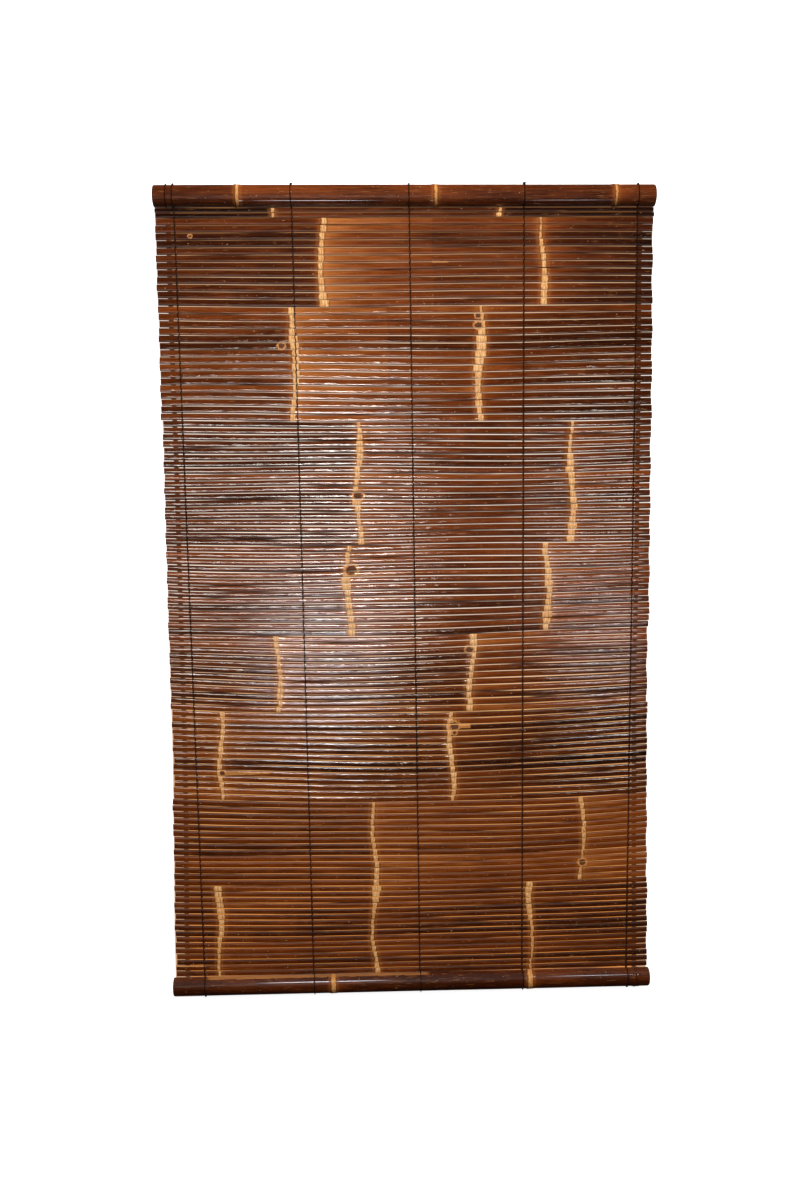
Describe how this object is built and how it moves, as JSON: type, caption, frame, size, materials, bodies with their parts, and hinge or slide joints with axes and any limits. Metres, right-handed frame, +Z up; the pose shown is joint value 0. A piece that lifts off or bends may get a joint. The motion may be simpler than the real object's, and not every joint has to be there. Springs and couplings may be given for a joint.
{
  "type": "bamboo roll-up blind",
  "caption": "Wide roll-up blind of dark split bamboo slats, bound edge to edge by columns of twine between a half-culm head rail and bottom rail.",
  "frame": {"origin": "middle of the head rail's flat back, on the axis of its culm, where the blind is held to the wall", "axes": "+X along the rails to the right as seen from the room, -Y towards the room, +Z up"},
  "size_m": [0.9, 0.0233, 1.4955],
  "materials": {
    "rail_bamboo": "dark stained and varnished bamboo culm",
    "slat_bamboo": "dark stained and varnished split bamboo",
    "twine": "dark twisted twine"
  },
  "bodies": {
    "root": {"head_rail": "rail_bamboo", "bottom_rail": "rail_bamboo", "slat_bundle_1": "slat_bamboo", "slat_bundle_2": "slat_bamboo", "slat_bundle_3": "slat_bamboo", "slat_bundle_4": "slat_bamboo", "slat_bundle_5": "slat_bamboo", "slat_bundle_6": "slat_bamboo", "slat_bundle_7": "slat_bamboo", "slat_bundle_8": "slat_bamboo", "slat_bundle_9": "slat_bamboo", "twine_1_left": "twine", "twine_1_right": "twine", "twine_2_left": "twine", "twine_2_right": "twine", "twine_3_left": "twine", "twine_3_right": "twine", "twine_4_left": "twine", "twine_4_right": "twine", "twine_5_left": "twine", "twine_5_right": "twine", "twine_turn": "twine"}
  },
  "joints": []
}
